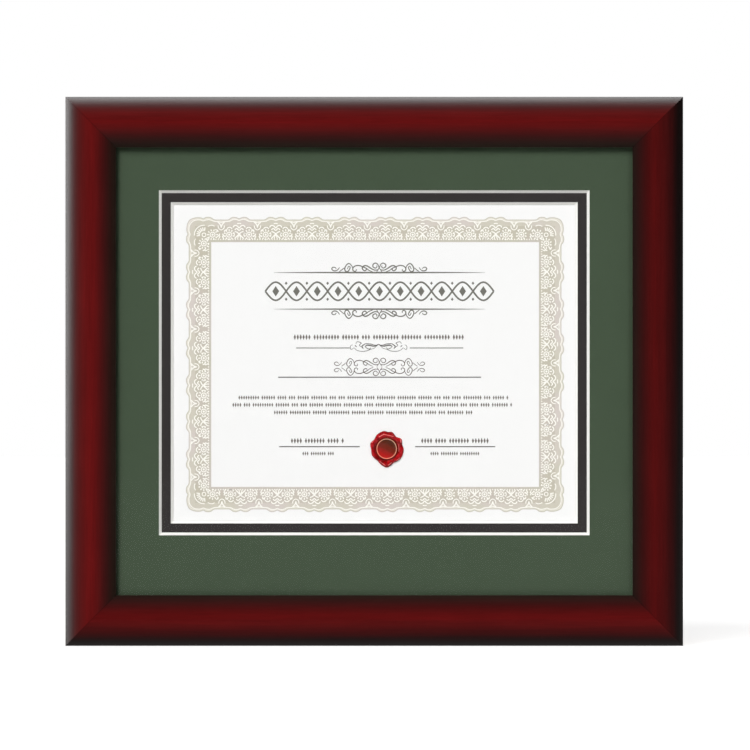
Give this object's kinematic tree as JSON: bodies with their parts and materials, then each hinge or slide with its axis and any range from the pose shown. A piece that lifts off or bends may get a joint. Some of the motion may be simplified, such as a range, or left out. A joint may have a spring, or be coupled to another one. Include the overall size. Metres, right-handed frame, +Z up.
{
  "type": "certificate frame",
  "caption": "Rectangular mitred wall frame with a rounded red wood moulding, double mat, sealed certificate, glazing, turn buttons and swinging wire hangers.",
  "frame": {"origin": "on the wall plane, behind the middle of the frame's outline", "axes": "+X to the right as seen from the front, +Y from the front into the wall, +Z up"},
  "size_m": [0.3662, 0.0258, 0.3254],
  "materials": {
    "mahogany_finish": "satin",
    "glazing": "polished",
    "green_mat_board": "matte",
    "charcoal_mat_board": "matte",
    "certificate_paper": "matte",
    "seal_wax": "gloss",
    "pocket_paper": "matte",
    "linen_tape": "matte",
    "white_board": "matte",
    "grey_board": "matte",
    "hardboard": "satin",
    "zinc_plated_steel": "satin",
    "nickel_plated_wire": "polished",
    "bare_steel": "satin",
    "bumper_rubber": "matte"
  },
  "bodies": {
    "frame": {"rail_top": "mahogany_finish", "rail_bottom": "mahogany_finish", "rail_left": "mahogany_finish", "rail_right": "mahogany_finish", "corner_v_nails": "bare_steel", "glazing": "glazing", "top_mat": "green_mat_board", "bottom_mat": "charcoal_mat_board", "certificate_sheet": "certificate_paper", "wax_seal": "seal_wax", "mounting_corners": "pocket_paper", "hinge_tape": "linen_tape", "mount_board": "white_board", "filler_board": "grey_board", "backing_board": "hardboard", "turn_button_screws": "zinc_plated_steel", "hanger_strap_left": "nickel_plated_wire", "hanger_strap_right": "nickel_plated_wire", "hanger_screws": "zinc_plated_steel", "wall_bumpers": "bumper_rubber"},
    "turn_button_top_left": {"turn_button_top_left": "zinc_plated_steel"},
    "turn_button_top_right": {"turn_button_top_right": "zinc_plated_steel"},
    "turn_button_left": {"turn_button_left": "zinc_plated_steel"},
    "turn_button_right": {"turn_button_right": "zinc_plated_steel"},
    "turn_button_bottom_left": {"turn_button_bottom_left": "zinc_plated_steel"},
    "turn_button_bottom_right": {"turn_button_bottom_right": "zinc_plated_steel"},
    "d_ring_left": {"d_ring_left": "nickel_plated_wire"},
    "d_ring_right": {"d_ring_right": "nickel_plated_wire"}
  },
  "joints": [
    {"name": "turn_button_top_left_turn", "type": "hinge", "parent": "frame", "child": "turn_button_top_left", "pos_m": [-0.09, -0.0038, 0.1472], "axis": [0, 1, 0], "continuous": true},
    {"name": "turn_button_top_right_turn", "type": "hinge", "parent": "frame", "child": "turn_button_top_right", "pos_m": [0.09, -0.0038, 0.1472], "axis": [0, 1, 0], "continuous": true},
    {"name": "turn_button_left_turn", "type": "hinge", "parent": "frame", "child": "turn_button_left", "pos_m": [-0.16755, -0.0038, 0], "axis": [0, 1, 0], "continuous": true},
    {"name": "turn_button_right_turn", "type": "hinge", "parent": "frame", "child": "turn_button_right", "pos_m": [0.16755, -0.0038, 0], "axis": [0, 1, 0], "continuous": true},
    {"name": "turn_button_bottom_left_turn", "type": "hinge", "parent": "frame", "child": "turn_button_bottom_left", "pos_m": [-0.09, -0.0038, -0.1472], "axis": [0, 1, 0], "continuous": true},
    {"name": "turn_button_bottom_right_turn", "type": "hinge", "parent": "frame", "child": "turn_button_bottom_right", "pos_m": [0.09, -0.0038, -0.1472], "axis": [0, 1, 0], "continuous": true},
    {"name": "d_ring_left_swing", "type": "hinge", "parent": "frame", "child": "d_ring_left", "pos_m": [-0.1713, -0.00195, 0.06], "axis": [1, 0, 0], "range_deg": [0, 180]},
    {"name": "d_ring_right_swing", "type": "hinge", "parent": "frame", "child": "d_ring_right", "pos_m": [0.1713, -0.00195, 0.06], "axis": [1, 0, 0], "range_deg": [0, 180]}
  ]
}
